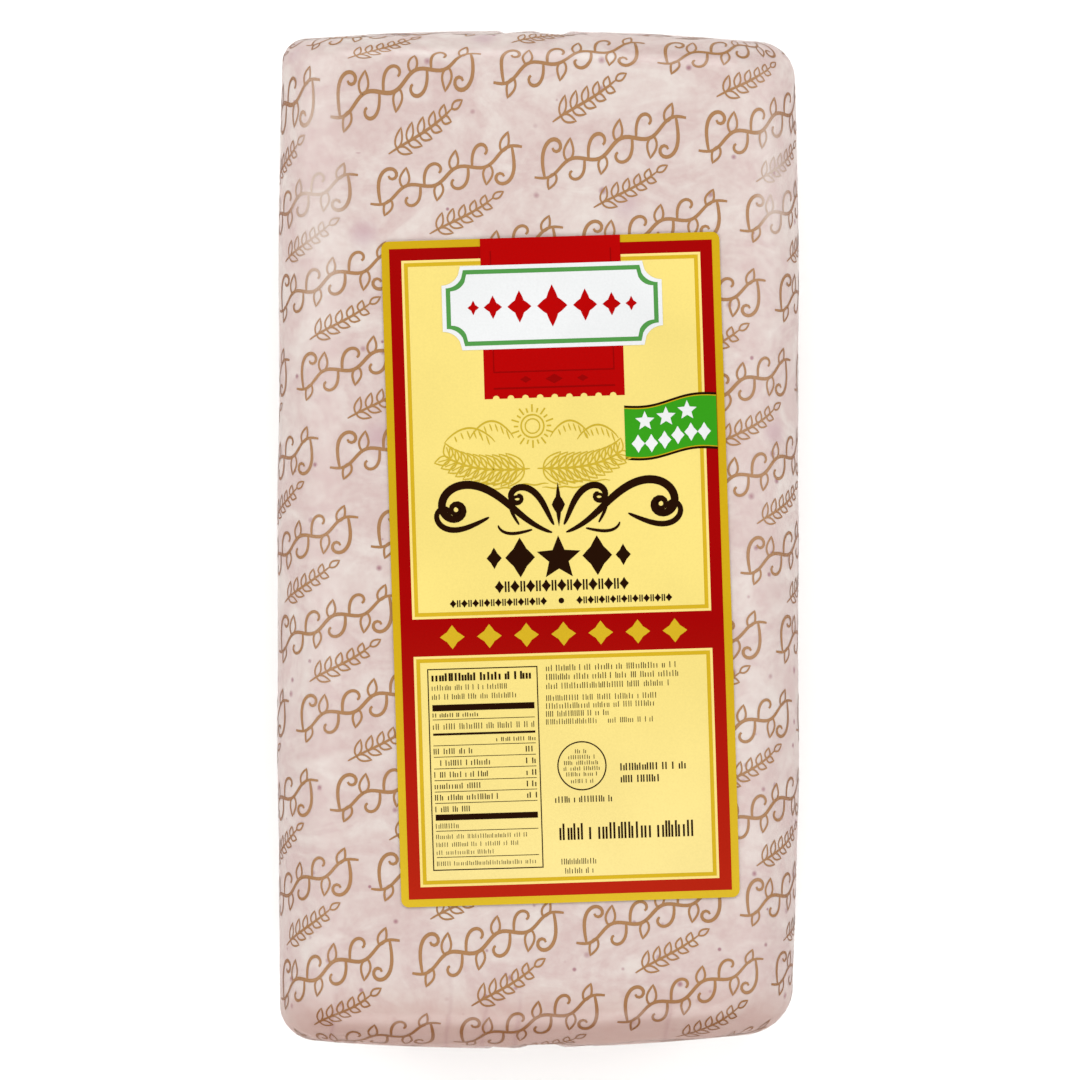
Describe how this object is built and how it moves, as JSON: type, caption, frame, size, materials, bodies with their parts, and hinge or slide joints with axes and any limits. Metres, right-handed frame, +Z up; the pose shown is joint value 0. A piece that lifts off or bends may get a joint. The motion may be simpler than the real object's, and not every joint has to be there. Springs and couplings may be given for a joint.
{
  "type": "wrapped cooked ham loaf",
  "caption": "Pressed cooked ham loaf in a skin-tight printed clear casing, gathered and clipped at both ends, with an adhesive label on its broad upper face.",
  "frame": {"origin": "on the surface that the loaf lies on, below the middle of its bounding box", "axes": "+Z up out of the labelled face, +Y along the loaf towards the label's head, +X towards the label's right side"},
  "size_m": [0.1677, 0.3264, 0.112],
  "materials": {
    "casing": "clear glossy casing film with brown print over pale pink cooked ham",
    "label": "glossy printed label stock in cream, red and gold",
    "clip": "bright bent aluminium wire"
  },
  "bodies": {
    "root": {"wrapped_ham": "casing", "label": "label", "clip_near": "clip", "clip_far": "clip"}
  },
  "joints": []
}
